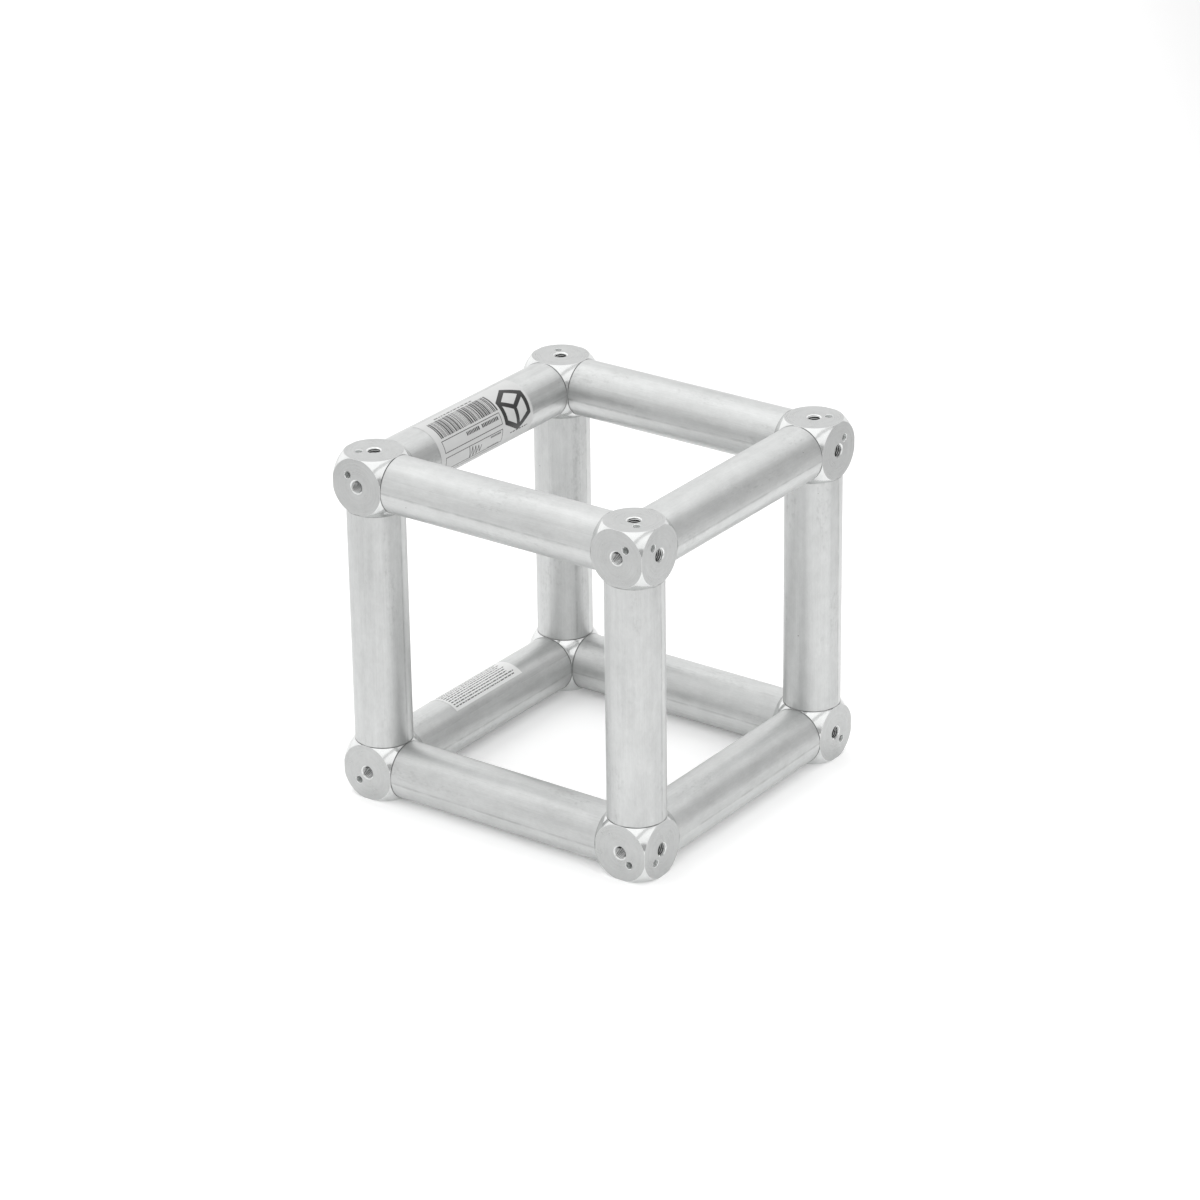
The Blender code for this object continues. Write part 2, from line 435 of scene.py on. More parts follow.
def tube_mesh(materials):
    """A tube along Z with rounded ends and a bored plug in each, open inside."""
    inside = TUBE_RADIUS - TUBE_WALL
    plug_end = TUBE_END - PLUG_LENGTH
    half = [(CORE_RADIUS, TUBE_END - TUBE_EDGE), (CORE_RADIUS + TUBE_EDGE, TUBE_END)]
    half.append((TUBE_RADIUS - 3 * TUBE_EDGE, TUBE_END))
    for step in range(5):
        angle = math.radians(90 - 22.5 * step)
        radius = TUBE_RADIUS - TUBE_EDGE + TUBE_EDGE * math.cos(angle)
        half.append((radius, TUBE_END - TUBE_EDGE + TUBE_EDGE * math.sin(angle)))
    half += [(TUBE_RADIUS, TUBE_END - below * TUBE_EDGE) for below in (2, 4, 12)]
    half.append((TUBE_RADIUS, TUBE_END / 2))
    outer = half + [(radius, -height) for radius, height in reversed(half)]
    inner = [(CORE_RADIUS, -plug_end), (inside, -plug_end), (inside, plug_end), (CORE_RADIUS, plug_end)]
    return turned_mesh("drawn_tube", outer + inner, TUBE_SIDES, materials)


def screw_radius(height, turn):
    """A set screw's radius: its thread, cut off by a chamfer at each end."""
    depth = thread_height(turn) * (SCREW_MAJOR - SCREW_MINOR)
    from_end = SCREW_LENGTH / 2 - abs(height)
    return min(SCREW_MINOR + depth, SCREW_MAJOR - SCREW_CHAMFER + from_end)


def screw_mesh(materials):
    """A set screw along Z, with its hexagon socket at the top."""
    shape = bmesh.new()
    end = SCREW_LENGTH / 2
    add_threaded(shape, screw_radius, -end, end, SCREW_SIDES, SCREW_TURN_STEPS, Matrix.Identity(3))
    corner = SOCKET_WIDTH / 2 / math.cos(math.pi / 6)
    socket = (
        (corner * 1.08, end),
        (corner, end - SOCKET_CHAMFER),
        (corner, end - SOCKET_DEPTH),
        (0, end - SOCKET_DEPTH - SOCKET_POINT),
    )
    rows = []
    for radius, height in socket:
        angles = [math.radians(60 * side) for side in range(7)]
        rows.append([Vector((radius * math.cos(a), radius * math.sin(a), height)) for a in angles])
    add_grid(shape, rows)
    bmesh.ops.remove_doubles(shape, verts=shape.verts, dist=WELD)
    bmesh.ops.dissolve_degenerate(shape, edges=shape.edges, dist=HAIR)
    for height in (-end, end):
        rim = [
            edge
            for edge in shape.edges
            if edge.is_boundary and all(abs(vert.co.z - height) < HAIR for vert in edge.verts)
        ]
        normal = Vector((0, 0, math.copysign(1, height)))
        bmesh.ops.triangle_fill(shape, edges=rim, use_beauty=True, normal=normal)
    return finished(shape, "set_screw", materials)


# ---------------------------------------------------------------- labels


def on_tube(along, around, radius):
    """A point in metres on a tube along Y, from its place along and its arc about the tube in millimetres."""
    angle = around / FILM_INNER
    return Vector((radius * math.cos(angle), along, radius * math.sin(angle))) * MM


def add_sheet(shape, corners, inner, thickness):
    """A thin closed sheet bent round the tube, between four corners given as (along, around)."""
    a, b, c, d = (Vector(corner) for corner in corners)
    wide = max(1, math.ceil(max((b - a).length, (c - d).length) / SHEET_STEP))
    tall = max(1, math.ceil(max((d - a).length, (c - b).length) / SHEET_STEP))
    layers = []
    for radius in (inner + thickness, inner):
        rows = []
        for row in range(tall + 1):
            start, end = a.lerp(d, row / tall), b.lerp(c, row / tall)
            points = [start.lerp(end, column / wide) for column in range(wide + 1)]
            rows.append([on_tube(point.x, point.y, radius) for point in points])
        layers.append(add_grid(shape, rows))
    top, bottom = layers
    rims = []
    for layer in (top, bottom):
        last = layer[-1]
        sides = [row[-1] for row in layer[1:-1]]
        back = [row[0] for row in reversed(layer[1:-1])]
        rims.append(layer[0] + sides + last[::-1] + back)
    outer, under = rims
    for index in range(len(outer)):
        following = (index + 1) % len(outer)
        shape.faces.new((outer[index], outer[following], under[following], under[index]))


def arc(degrees):
    """The arc length about the tube, in millimetres, of an angle."""
    return math.radians(degrees) * FILM_INNER


class Print:
    """Ink on a label: closed patches a hundredth of a millimetre thick, on its film."""

    def __init__(self):
        self.shape = bmesh.new()
        self.inner = FILM_INNER + FILM_THICKNESS + INK_LIFT

    def patch(self, corners):
        add_sheet(self.shape, corners, self.inner, INK_THICKNESS)

    def box(self, along, around):
        (y0, y1), (s0, s1) = along, around
        self.patch(((y0, s0), (y1, s0), (y1, s1), (y0, s1)))

    def stroke(self, start, end, width):
        """A straight stroke with square ends."""
        a, b = Vector(start), Vector(end)
        run = (b - a).normalized()
        side = Vector((-run.y, run.x)) * width / 2
        self.patch((a - side, b - side, b + side, a + side))

    def frame(self, along, around, width):
        """The outline of a box."""
        (y0, y1), (s0, s1) = along, around
        self.box((y0, y1), (s0, s0 + width))
        self.box((y0, y1), (s1 - width, s1))
        self.box((y0, y0 + width), (s0 + width, s1 - width))
        self.box((y1 - width, y1), (s0 + width, s1 - width))

    def words(self, along, around, height, dice, dash=(1.2, 4.2), gap=0.9):
        """A line of dashes that stands for words."""
        y, end = along
        while y < end:
            length = min(dice.uniform(*dash), end - y)
            if length > 0.4:
                self.box((y, y + length), (around - height / 2, around + height / 2))
            y += length + gap


def film_mesh(name, label, materials):
    shape = bmesh.new()
    (y0, y1), (low, high) = label
    s0, s1 = arc(low), arc(high)
    add_sheet(shape, ((y0, s0), (y1, s0), (y1, s1), (y0, s1)), FILM_INNER, FILM_THICKNESS)
    return finished(shape, name, materials)


def identification_print():
    """Bars, two boxes of small print, a scribbled line and a plain cube sign, none of which says anything.

    Places are in millimetres along the tube, and in degrees about it.
    """
    dice = random.Random(7)
    grey, black = Print(), Print()
    y = -45.6
    while y < 10.2:
        width = dice.choice((0.45, 0.45, 0.9, 1.35))
        grey.box((y, min(y + width, 10.5)), (arc(40.5), arc(82.5)))
        y += width + dice.choice((0.4, 0.4, 0.8))
    grey.words((-36, 1.6), arc(88), 0.9, dice)
    grey.frame((-47, 9.4), (arc(11), arc(36)), 0.45)
    grey.words((-9, 7), arc(27), 2.3, dice, dash=(0.7, 1.3), gap=0.45)
    grey.words((-24, -11), arc(27), 2.3, dice, dash=(0.7, 1.3), gap=0.45)
    grey.frame((-47, 9), (arc(-26.5), arc(2.4)), 0.45)
    grey.words((-3, 7), arc(-3), 1.2, dice, dash=(0.6, 1.1), gap=0.4)
    grey.words((-5, 6), arc(-24), 0.8, dice, dash=(0.6, 1.1), gap=0.4)
    points = [Vector((-24 + 1.5 * step, arc(-14) + (-1) ** step * (4.4 - 0.3 * step))) for step in range(9)]
    for start, end in zip(points, points[1:]):
        grey.stroke(start, end, 0.6)
    grey.box((-47, 9), (arc(-33), arc(-32)))
    # The cube sign: a hexagon's outline and three spokes.
    centre = Vector((24.5, arc(31)))
    inner, outer, spoke = 11.0, 14.6, 3.0
    rays = [Vector((math.sin(math.radians(60 * k)), math.cos(math.radians(60 * k)))) for k in range(7)]
    for ray, following in zip(rays, rays[1:]):
        edge = ((ray, inner), (ray, outer), (following, outer), (following, inner))
        black.patch([centre + way * reach for way, reach in edge])
    for ray in rays[1:6:2]:
        black.stroke(centre, centre + ray * (inner + 0.4), spoke)
    black.words((17, 34), arc(-16), 0.8, dice, dash=(0.8, 2.4))
    return grey, black


def notice_print():
    """Lines of small print."""
    dice = random.Random(21)
    grey = Print()
    for line in range(9):
        angle = 60 + 6.6 * line
        grey.words((-33, 27.6 - dice.uniform(0, 6)), arc(angle), 0.75, dice, dash=(0.9, 3.4), gap=0.7)
    return grey


# ---------------------------------------------------------------- materials


class Graph:
    """A material's nodes, with a short call for each kind used here."""

    def __init__(self, name):
        self.material = bpy.data.materials.new(name)
        self.material.use_nodes = True
        self.tree = self.material.node_tree
        self.shader = self.tree.nodes["Principled BSDF"]

    def node(self, kind, **settings):
        made = self.tree.nodes.new(kind)
        for key, value in settings.items():
            setattr(made, key, value)
        return made

    def feed(self, socket, value):
        if isinstance(value, bpy.types.NodeSocket):
            self.tree.links.new(value, socket)
        else:
            socket.default_value = value

    def math(self, operation, *values, clamp=False):
        made = self.node("ShaderNodeMath", operation=operation, use_clamp=clamp)
        for socket, value in zip(made.inputs, values):
            self.feed(socket, value)
        return made.outputs[0]

    def vector(self, operation, *values):
        made = self.node("ShaderNodeVectorMath", operation=operation)
        for socket, value in zip(made.inputs, values):
            self.feed(socket, value)
        return made.outputs["Value" if operation in ("LENGTH", "DOT_PRODUCT") else "Vector"]

    def local(self, offset=(0, 0, 0)):
        """The piece's own coordinates in millimetres, shifted for each piece by its seed."""
        place = self.node("ShaderNodeAttribute", attribute_name="local").outputs["Vector"]
        seed = self.node("ShaderNodeAttribute", attribute_name="seed", attribute_type="OBJECT").outputs["Fac"]
        shift = self.node("ShaderNodeCombineXYZ")
        for socket, step in zip(shift.inputs, offset):
            self.feed(socket, self.math("MULTIPLY", seed, step))
        return self.vector("ADD", place, shift.outputs[0])

    def noise(self, place, scale, detail=2.0, roughness=0.5, stretch=(1, 1, 1)):
        made = self.node("ShaderNodeTexNoise", noise_dimensions="3D")
        self.feed(made.inputs["Vector"], self.vector("MULTIPLY", place, stretch))
        made.inputs["Scale"].default_value = scale
        made.inputs["Detail"].default_value = detail
        made.inputs["Roughness"].default_value = roughness
        return made.outputs["Fac"]

    def spread(self, value, low, high, to_low=0.0, to_high=1.0):
        """A value mapped from one range to another with soft ends."""
        made = self.node("ShaderNodeMapRange", interpolation_type="SMOOTHSTEP")
        for socket, given in zip(made.inputs, (value, low, high, to_low, to_high)):
            self.feed(socket, given)
        return made.outputs["Result"]

    def specks(self, place, scale, size, share):
        """Small round marks, in a share of the cells of a random pattern."""
        made = self.node("ShaderNodeTexVoronoi", feature="F1")
        self.feed(made.inputs["Vector"], place)
        made.inputs["Scale"].default_value = scale
        split = self.node("ShaderNodeSeparateColor")
        self.feed(split.inputs[0], made.outputs["Color"])
        chosen = self.math("LESS_THAN", split.outputs[0], share)
        radius = self.math("MULTIPLY_ADD", split.outputs[1], size * 0.7, size * 0.5)
        near = self.math("LESS_THAN", made.outputs["Distance"], radius)
        return self.math("MULTIPLY", chosen, near)

    def weigh(self, base, *parts):
        """base plus each (value - middle) * weight."""
        total = base
        for value, middle, weight in parts:
            total = self.math("ADD", total, self.math("MULTIPLY_ADD", value, weight, -middle * weight))
        return total

    def grey(self, value, tint=(1.0, 1.0, 1.0)):
        made = self.node("ShaderNodeCombineColor")
        for socket, share in zip(made.inputs, tint):
            self.feed(socket, self.math("MULTIPLY", value, share))
        return made.outputs[0]

    def bump(self, height, distance, strength=1.0):
        made = self.node("ShaderNodeBump")
        made.inputs["Strength"].default_value = strength
        made.inputs["Distance"].default_value = distance
        self.feed(made.inputs["Height"], height)
        self.feed(self.shader.inputs["Normal"], made.outputs["Normal"])

    def finish(self, colour, roughness, metallic=1.0):
        self.feed(self.shader.inputs["Base Color"], colour)
        self.feed(self.shader.inputs["Roughness"], roughness)
        self.shader.inputs["Metallic"].default_value = metallic
        return self.material


TINT = (0.987, 1.0, 0.994)


def tube_metal():
    """Mill-finish aluminium: die lines, the seam, cloudy patches, a few scores, nicks and scuffs.

    Each pattern is weighed into the tone, the roughness and the bumps as (pattern, its middle, its weight).
    """
    g = Graph("mill_aluminium")
    place = g.local((31.7, 57.3, 211.9))
    lines = g.noise(place, 1.9, 3, 0.6, (1, 1, 0.012))
    bands = g.noise(place, 0.22, 2, 0.5, (1, 1, 0.05))
    clouds = g.noise(place, 0.05, 4, 0.6, (1, 1, 0.45))
    grain = g.noise(place, 1.1, 2, 0.6, (1, 1, 0.35))
    smudges = g.noise(place, 0.17, 3, 0.6, (1, 1, 0.7))
    from_middle = g.math("ABSOLUTE", g.vector("DOT_PRODUCT", g.local(), (0, 0, 1)))
    # The last half millimetre of the tube is darker: grime in the joint, and painted shade where the joint's
    # gap shades the tube.
    at_end = g.spread(from_middle, TUBE_END / MM - 0.55, TUBE_END / MM - 0.30)
    grime_and_joint_shade = g.math("MULTIPLY", at_end, g.spread(g.noise(place, 0.10, 2, 0.5), 0.35, 0.60, 0.25, 1.0))
    drawn = g.noise(place, 0.055, 1.0, 0.5, (1, 1, 0.004))
    streak = g.spread(drawn, 0.50, 0.515)
    off_line = g.math("ABSOLUTE", g.math("SUBTRACT", drawn, 0.507))
    broken = g.spread(g.noise(place, 0.12, 2, 0.6), 0.44, 0.58)
    score = g.math("MULTIPLY", g.spread(off_line, 0.0, 0.004, 1.0, 0.0), broken)
    nicks = g.specks(place, 0.085, 0.028, 0.35)
    # The seam of the extrusion: a thin line along the tube's outward side, a little lighter below it.
    across = g.vector("DOT_PRODUCT", g.local(), (0, 1, 0))
    wavering = g.weigh(across, (g.noise(place, 0.02, 2, 0.5, (1, 1, 0.12)), 0.5, 7.0))
    off_seam = g.math("ABSOLUTE", g.math("SUBTRACT", wavering, -0.8))
    outward = g.spread(g.vector("DOT_PRODUCT", g.local(), (-1, 0, 0)), 4.0, 9.0)
    patches = g.spread(g.noise(place, 0.09, 3, 0.6), 0.38, 0.60, 0.25, 1.0)
    seam = g.math("MULTIPLY", g.spread(off_seam, 0.25, 1.0, 1.0, 0.0), g.math("MULTIPLY", outward, patches))
    near_seam = g.math("MULTIPLY", g.spread(off_seam, 3.0, 9.0, 1.0, 0.0), outward)
    side = g.math("MULTIPLY", g.spread(wavering, -1.4, -0.4, 1.0, -1.0), near_seam)
    scuff_zone = g.spread(g.noise(place, 0.07, 2, 0.5, (1, 1, 0.25)), 0.54, 0.64)
    rubbed = g.spread(g.noise(place, 0.9, 3, 0.65, (0.6, 0.6, 0.3)), 0.48, 0.68)
    scuffs = g.math("MULTIPLY", rubbed, scuff_zone)
    tone = g.weigh(
        0.583,
        (lines, 0.5, 0.10),
        (bands, 0.5, 0.10),
        (clouds, 0.5, 0.16),
        (smudges, 0.5, 0.11),
        (grain, 0.5, 0.08),
        (streak, 0.5, 0.030),
        (score, 0.0, -0.055),
        (seam, 0.0, -0.09),
        (side, 0.0, 0.032),
        # grime in the joint, and painted shade at the joint
        (grime_and_joint_shade, 0.0, -0.24),
        (nicks, 0.0, -0.35),
        (scuffs, 0.0, -0.06),
    )
    roughness = g.weigh(0.43, (clouds, 0.5, 0.14), (lines, 0.5, 0.08), (streak, 0.5, 0.05), (nicks, 0.0, 0.2))
    height = g.weigh(
        0.5,
        (lines, 0.5, 0.8),
        (grain, 0.5, 0.25),
        (score, 0.0, -0.6),
        (nicks, 0.0, -1.5),
        (scuffs, 0.0, -0.5),
    )
    g.bump(height, 0.012 * MM, 0.9)
    return g.finish(g.grey(tone, TINT), roughness)


def ring_distance(g, place):
    """How far a point of any flat is from that flat's middle."""
    square = g.vector("DOT_PRODUCT", place, place)
    return g.math("SQRT", g.math("MAXIMUM", g.math("SUBTRACT", square, (SEAT / MM) ** 2), 0.0))


def faced_metal():
    """The ball's flats: faced on a lathe, with fine rings about the hole."""
    g = Graph("faced_aluminium")
    place = g.local()
    ring = g.node("ShaderNodeCombineXYZ")
    g.feed(ring.inputs[0], ring_distance(g, place))
    seeded = g.local((17.3, 41.9, 23.1))
    drift = g.vector("MULTIPLY", seeded, (0.03, 0.03, 0.03))
    rings = g.noise(g.vector("ADD", ring.outputs[0], drift), 3.4, 2, 0.6)
    coarse = g.noise(g.vector("ADD", ring.outputs[0], drift), 0.8, 2, 0.6)
    clouds = g.noise(seeded, 0.09, 3, 0.55)
    flecks = g.noise(seeded, 0.7, 3, 0.65)
    nicks = g.specks(seeded, 0.16, 0.022, 0.25)
    tone = g.weigh(
        0.495,
        (rings, 0.5, 0.10),
        (coarse, 0.5, 0.08),
        (clouds, 0.5, 0.11),
        (flecks, 0.5, 0.08),
        (nicks, 0.0, -0.25),
    )
    roughness = g.weigh(0.29, (rings, 0.5, 0.08), (clouds, 0.5, 0.08))
    height = g.weigh(0.5, (rings, 0.5, 1.0), (coarse, 0.5, 0.8), (nicks, 0.0, -1.0))
    g.bump(height, 0.010 * MM, 0.9)
    return g.finish(g.grey(tone, TINT), roughness)


def polished_metal():
    """The ball's round surface between the flats: bright turned, a little wavy."""
    g = Graph("polished_aluminium")
    place = g.local((11.1, 19.7, 37.9))
    waves = g.noise(place, 0.16, 2, 0.5)
    fine = g.noise(place, 1.6, 3, 0.6, (1, 1, 0.2))
    smears = g.noise(place, 0.35, 3, 0.6)
    tone = g.weigh(0.70, (smears, 0.5, 0.08), (fine, 0.5, 0.03))
    roughness = g.weigh(0.14, (smears, 0.5, 0.10), (fine, 0.5, 0.05))
    height = g.weigh(0.5, (waves, 0.5, 6.0), (fine, 0.5, 0.25))
    g.bump(height, 0.02 * MM, 0.9)
    return g.finish(g.grey(tone, TINT), roughness)


def drilled_metal():
    """The pin holes: drilled, with the drill's rough marks, and painted darker towards the bottom as shade in
    the hole.
    """
    g = Graph("drilled_aluminium")
    place = g.local((7.9, 3.1, 9.7))
    marks = g.noise(place, 3.0, 3, 0.65)
    split = g.node("ShaderNodeSeparateXYZ")
    g.feed(split.inputs[0], g.local())
    x, y, z = (g.math("ABSOLUTE", output) for output in split.outputs)
    reach = g.math("MAXIMUM", g.math("MAXIMUM", x, y), z)
    # Painted shade: the tone falls to half towards the bottom of the hole.
    painted_depth_shade = g.spread(reach, (SEAT - PIN_DEPTH) / MM, SEAT / MM - 2.5, 0.50, 1.0)
    tone = g.math("MULTIPLY", g.weigh(0.93, (marks, 0.5, 0.12)), painted_depth_shade)
    roughness = g.weigh(0.62, (marks, 0.5, 0.20))
    g.bump(marks, 0.03 * MM)
    return g.finish(g.grey(tone, TINT), roughness)


def mouth_metal():
    """The chamfers at the holes' mouths: freshly cut and bright."""
    g = Graph("chamfered_aluminium")
    place = g.local((1.7, 2.3, 8.3))
    marks = g.noise(place, 2.0, 2, 0.6)
    tone = g.weigh(0.74, (marks, 0.5, 0.10))
    roughness = g.weigh(0.17, (marks, 0.5, 0.08))
    g.bump(marks, 0.006 * MM, 0.8)
    return g.finish(g.grey(tone, TINT), roughness)


def bored_metal():
    """The tapped holes: bright cut threads, with swarf and oil marks deeper in."""
    g = Graph("bored_aluminium")
    place = g.local((5.3, 9.1, 3.7))
    marks = g.noise(place, 2.2, 3, 0.6)
    oil = g.noise(place, 0.5, 2, 0.5)
    tone = g.weigh(0.46, (marks, 0.5, 0.14), (oil, 0.5, 0.20))
    roughness = g.weigh(0.11, (marks, 0.5, 0.07), (oil, 0.5, 0.05))
    g.bump(marks, 0.008 * MM, 0.8)
    return g.finish(g.grey(tone, TINT), roughness)


def screw_metal():
    """Zinc-plated steel, slightly dulled."""
    g = Graph("plated_steel")
    place = g.local((3.3, 8.7, 5.9))
    grain = g.noise(place, 2.5, 3, 0.6)
    stain = g.noise(place, 0.3, 2, 0.5)
    tone = g.weigh(0.46, (grain, 0.5, 0.08), (stain, 0.5, 0.12))
    roughness = g.weigh(0.36, (grain, 0.5, 0.12), (stain, 0.5, 0.12))
    g.bump(grain, 0.006 * MM, 0.8)
    return g.finish(g.grey(tone, (1.0, 1.0, 1.02)), roughness)


def label_film(name, brightness):
    """White film with a faint orange-peel surface, a little soiled."""
    g = Graph(name)
    place = g.local((2.1, 4.3, 6.7))
    peel = g.noise(place, 1.8, 2, 0.5)
    soil = g.noise(place, 0.12, 3, 0.6)
    tone = g.weigh(brightness, (peel, 0.5, 0.02), (soil, 0.5, 0.07))
    roughness = g.weigh(0.42, (peel, 0.5, 0.06), (soil, 0.5, 0.10))
    g.bump(peel, 0.006 * MM, 0.6)
    return g.finish(g.grey(tone, (0.995, 1.0, 0.995)), roughness, metallic=0.0)


def ink(name, darkness):
    """Printing ink, thinner in places."""
    g = Graph(name)
    place = g.local((1.3, 2.9, 4.1))
    thin = g.noise(place, 1.4, 3, 0.6)
    tone = g.weigh(darkness, (thin, 0.5, darkness * 0.6))
    roughness = g.weigh(0.40, (thin, 0.5, 0.12))
    g.bump(thin, 0.003 * MM, 0.5)
    return g.finish(g.grey(tone), roughness, metallic=0.0)


def floor_paper():
    """Matt white studio paper that glows faintly as painted fill light, and is painted darker far off, at the
    front left and at the rear right, as shade for less light falling there.
    """
    g = Graph("studio_paper")
    place = g.local()
    fibre = g.noise(place, 0.02, 3, 0.6)
    # Painted shade: the paper is darker far off, at the front left and at the rear right, for less light
    # falling there.
    painted_shade_far_off = g.spread(g.vector("LENGTH", place), 250.0, 800.0, 1.0, 0.88)
    painted_shade_front_left = g.spread(g.vector("DOT_PRODUCT", place, (-0.70, -0.71, 0.0)), 100.0, 380.0, 1.0, 0.88)
    painted_shade_rear_right = g.spread(g.vector("DOT_PRODUCT", place, (0.81, 0.58, 0.0)), 330.0, 620.0, 1.0, 0.77)
    tone = g.weigh(1.0, (fibre, 0.5, 0.01))
    for part in (painted_shade_far_off, painted_shade_front_left, painted_shade_rear_right):
        tone = g.math("MULTIPLY", tone, part)
    # Painted fill light: the paper glows, which lightens the shade under the object.
    g.feed(g.shader.inputs["Emission Color"], g.grey(tone))
    g.shader.inputs["Emission Strength"].default_value = 0.12
    return g.finish(g.grey(g.math("MULTIPLY", tone, 0.98)), 0.9, metallic=0.0)


# ---------------------------------------------------------------- the pieces in place


def add_piece(name, mesh, centre, rotation, seed, slot, *replaced):
    """A piece of the object, put in place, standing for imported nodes."""
    piece = linked(name, mesh)
    piece.matrix_world = Matrix.Translation(centre) @ rotation.to_4x4()
    piece["seed"] = seed
    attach(piece, "root")
    if replaced:
        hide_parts(*replaced)


def toward(direction):
    """The rotation that carries +Z to a direction."""
    return direction.to_track_quat("Z", "Y").to_matrix()


def centre_of(node):
    low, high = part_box(node)
    return (low + high) / 2


def build_corners():
    ball = ball_mesh([faced_metal(), polished_metal(), bored_metal(), drilled_metal(), mouth_metal()])
    screw = screw_mesh([screw_metal()])
    seed = 1.0
    for level, top in LEVELS:
        for depth, rear in DEPTHS:
            for side, right in SIDES:
                corner = f"{level}_{depth}_{side}"
                node = f"corner_ball_{corner}"
                turn = ball_rotation(right, rear, top)
                name = f"machined_ball_{corner}"
                add_piece(name, ball, centre_of(node), turn, seed, "ball_aluminium", node)
                seed += 1.0
                for letter, outward in (("x", (right, 0, 0)), ("y", (0, rear, 0)), ("z", (0, 0, top))):
                    node = f"joint_screw_{corner}_{letter}"
                    turn = toward(Vector(outward))
                    name = f"set_screw_{corner}_{letter}"
                    add_piece(name, screw, centre_of(node), turn, seed, "screw_steel", node)


def build_tubes():
    tube = tube_mesh([tube_metal()])
    names = []
    for level, _ in LEVELS:
        names += [(f"tube_{level}_{depth}", Vector((1, 0, 0))) for depth, _ in DEPTHS]
        names += [(f"tube_{level}_{side}", Vector((0, 1, 0))) for side, _ in SIDES]
    for depth, _ in DEPTHS:
        names += [(f"post_{depth}_{side}", Vector((0, 0, 1))) for side, _ in SIDES]
    for index, (node, direction) in enumerate(names):
        turn = toward(direction)
        add_piece(f"drawn_{node}", tube, centre_of(node), turn, 1.0 + index, "tube_aluminium", node)


def build_labels():
    upright = Matrix.Identity(3)
    top_left = centre_of("tube_top_left")
    bottom_left = centre_of("tube_bottom_left")
    sheet = film_mesh("identification_film", ID_LABEL, [label_film("white_film", 0.59)])
    add_piece("identification_film", sheet, top_left, upright, 1.0, "label_film", "identification_label")
    # The notice film is the same white film painted lighter, as painted light for the less light that reaches
    # it on the frame's inner side.
    sheet = film_mesh("notice_film", NOTICE_LABEL, [label_film("white_film_painted_lighter", 0.76)])
    add_piece("notice_film", sheet, bottom_left, upright, 2.0, "label_film", "notice_label")
    grey_ink, black_ink = ink("grey_ink", 0.07), ink("black_ink", 0.02)
    grey, black = identification_print()
    mesh = finished(grey.shape, "identification_small_print", [grey_ink])
    add_piece("identification_small_print", mesh, top_left, upright, 3.0, "label_film")
    mesh = finished(black.shape, "identification_sign", [black_ink])
    add_piece("identification_sign", mesh, top_left, upright, 4.0, "label_film")
    mesh = finished(notice_print().shape, "notice_small_print", [grey_ink])
    add_piece("notice_small_print", mesh, bottom_left, upright, 5.0, "label_film")


# ---------------------------------------------------------------- studio

CAMERA_AZIMUTH = 35.837  # degrees from the front towards the right
CAMERA_ELEVATION = 24.269
CAMERA_ROLL = -0.802
CAMERA_DISTANCE = 2.6122
CAMERA_AIM = (1.195 * MM, 2.613 * MM)  # right of and above the cube's centre, as seen
LENS = 131.31
FLOOR_SIZE = 14.0
SOFTBOX_PLACE = (-1.6, 0.05, 2.5)  # above the object's left
SOFTBOX_SIZE = (1.3, 1.3)
SOFTBOX_POWER = 1.5


def add_camera():
    azimuth, elevation, roll = (math.radians(v) for v in (CAMERA_AZIMUTH, CAMERA_ELEVATION, CAMERA_ROLL))
    back = Vector(
        (
            math.sin(azimuth) * math.cos(elevation),
            -math.cos(azimuth) * math.cos(elevation),
            math.sin(elevation),
        )
    )
    level_right = (-back).cross(Vector((0, 0, 1))).normalized()
    level_up = level_right.cross(-back)
    right = level_right * math.cos(roll) + level_up * math.sin(roll)
    up = level_up * math.cos(roll) - level_right * math.sin(roll)
    data = bpy.data.cameras.new("camera")
    data.lens = LENS
    data.sensor_width = 36.0
    data.clip_start = 0.05
    data.clip_end = 100.0
    camera = linked("camera", data)
    place = right * CAMERA_AIM[0] + up * CAMERA_AIM[1] + back * CAMERA_DISTANCE
    turn = Matrix((right, up, back)).transposed()
    camera.matrix_world = Matrix.Translation(place) @ turn.to_4x4()
    bpy.context.scene.camera = camera


def add_floor():
    shape = bmesh.new()
    bmesh.ops.create_grid(shape, x_segments=16, y_segments=16, size=FLOOR_SIZE / 2)
    mesh = finished(shape, "floor", [floor_paper()])
    floor = linked("floor", mesh)
    floor.location.z = cad_bounds[0][2]


def add_softbox():
    """A soft lamp that faces the object's centre."""
    data = bpy.data.lights.new("ceiling_softbox", "AREA")
    data.shape = "RECTANGLE"
    data.size, data.size_y = SOFTBOX_SIZE
    data.energy = SOFTBOX_POWER
    box = linked("ceiling_softbox", data)
    box.location = SOFTBOX_PLACE
    box.rotation_euler = Vector(SOFTBOX_PLACE).to_track_quat("Z", "Y").to_euler()


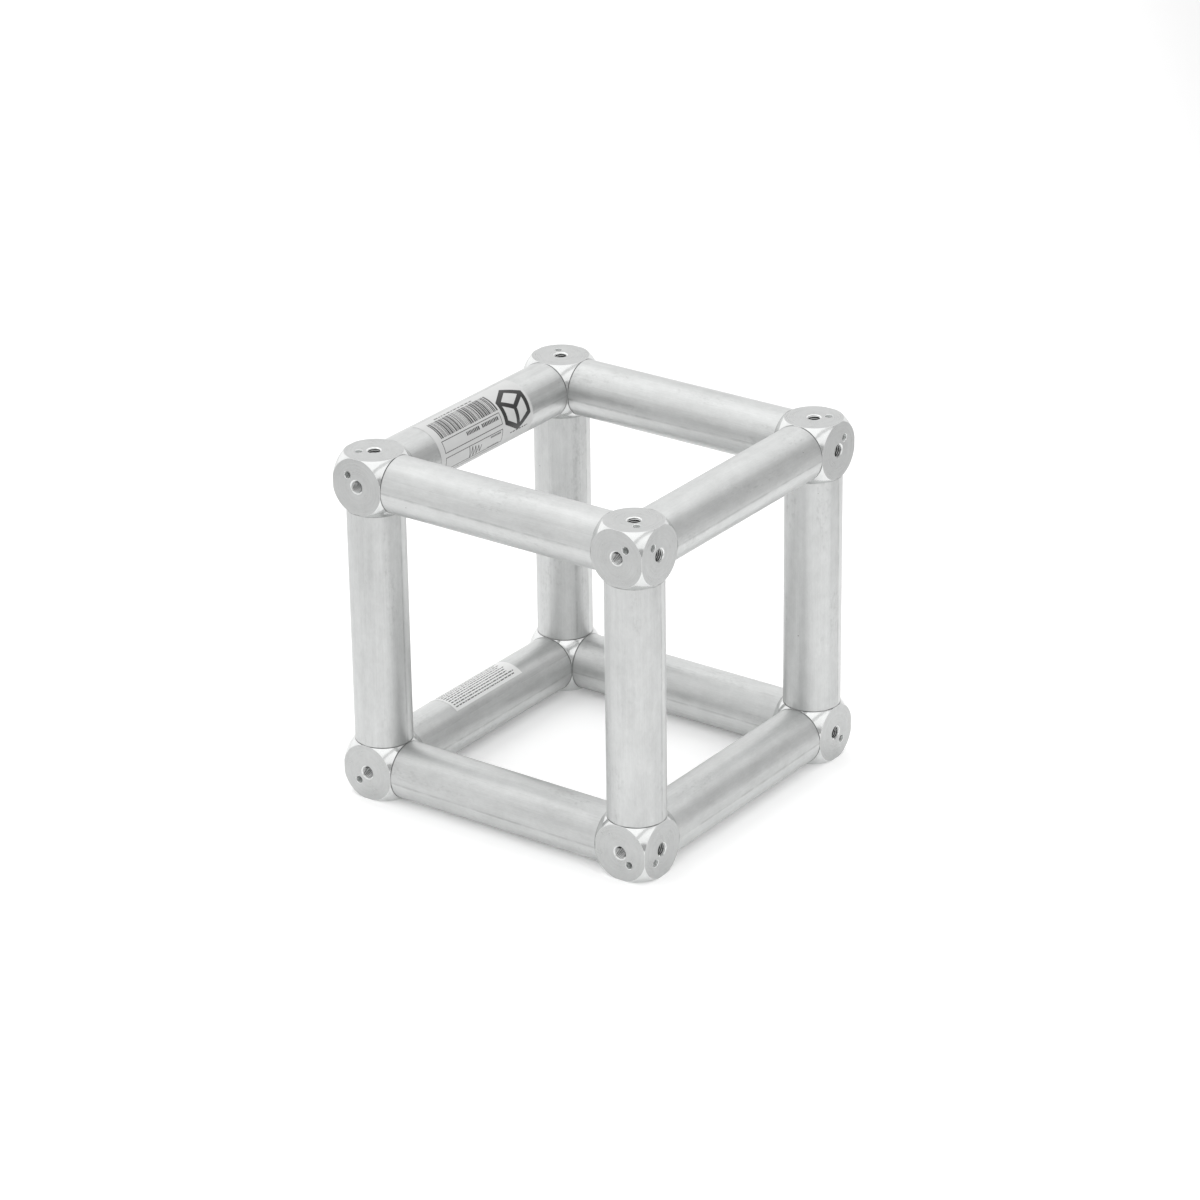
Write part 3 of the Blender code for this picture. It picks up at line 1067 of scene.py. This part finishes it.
def world_light():
    """A white dome, brightest overhead, with the tones of what stands round the studio."""
    world = bpy.data.worlds.new("studio")
    bpy.context.scene.world = world
    world.use_nodes = True
    tree = world.node_tree
    background = tree.nodes["Background"]
    coordinate = tree.nodes.new("ShaderNodeTexCoord")

    def lobe(direction, low, high, to_low, to_high):
        dot = tree.nodes.new("ShaderNodeVectorMath")
        dot.operation = "DOT_PRODUCT"
        dot.inputs[1].default_value = Vector(direction).normalized()
        tree.links.new(coordinate.outputs["Generated"], dot.inputs[0])
        made = tree.nodes.new("ShaderNodeMapRange")
        made.interpolation_type = "SMOOTHSTEP"
        for socket, value in zip(made.inputs[1:5], (low, high, to_low, to_high)):
            socket.default_value = value
        tree.links.new(dot.outputs["Value"], made.inputs[0])
        return made.outputs["Result"]

    def combined(operation, a, b):
        made = tree.nodes.new("ShaderNodeMath")
        made.operation = operation
        tree.links.new(a, made.inputs[0])
        tree.links.new(b, made.inputs[1])
        return made.outputs[0]

    # Each lobe is a direction, the cosines between which it fades in, and what it does to the light there.
    dome = lobe((0, 0, 1), 0.1, 0.9, 1.08, 1.39)
    far_side = lobe((0.68, 0.70, 0.14), 0.70, 0.96, 1.0, 0.51)
    near_side = lobe((-0.52, -0.80, 0.30), 0.70, 0.97, 1.0, 0.85)
    camera_stand = lobe((0.77, -0.60, 0.12), 0.955, 0.985, 1.0, 0.45)
    window = lobe((-0.94, 0.33, 0.05), 0.80, 0.97, 1.0, 1.20)
    # A darker ring, light again inside it.
    ring_way = (-0.877, 0.045, 0.48)
    outside = lobe(ring_way, -0.24, -0.17, 1.0, 0.62)
    inside = lobe(ring_way, -0.13, -0.06, 0.0, 1.0)
    rim = combined("MAXIMUM", outside, inside)
    for part in (far_side, near_side, camera_stand, window, rim):
        dome = combined("MULTIPLY", dome, part)
    tree.links.new(dome, background.inputs["Strength"])
    background.inputs["Color"].default_value = (1.0, 1.0, 1.0, 1.0)


def build_studio():
    add_camera()
    add_floor()
    world_light()
    add_softbox()
    bpy.context.scene.view_settings.view_transform = "Standard"
    bpy.context.scene.view_settings.look = "None"


build_studio()
build_corners()
build_tubes()
build_labels()
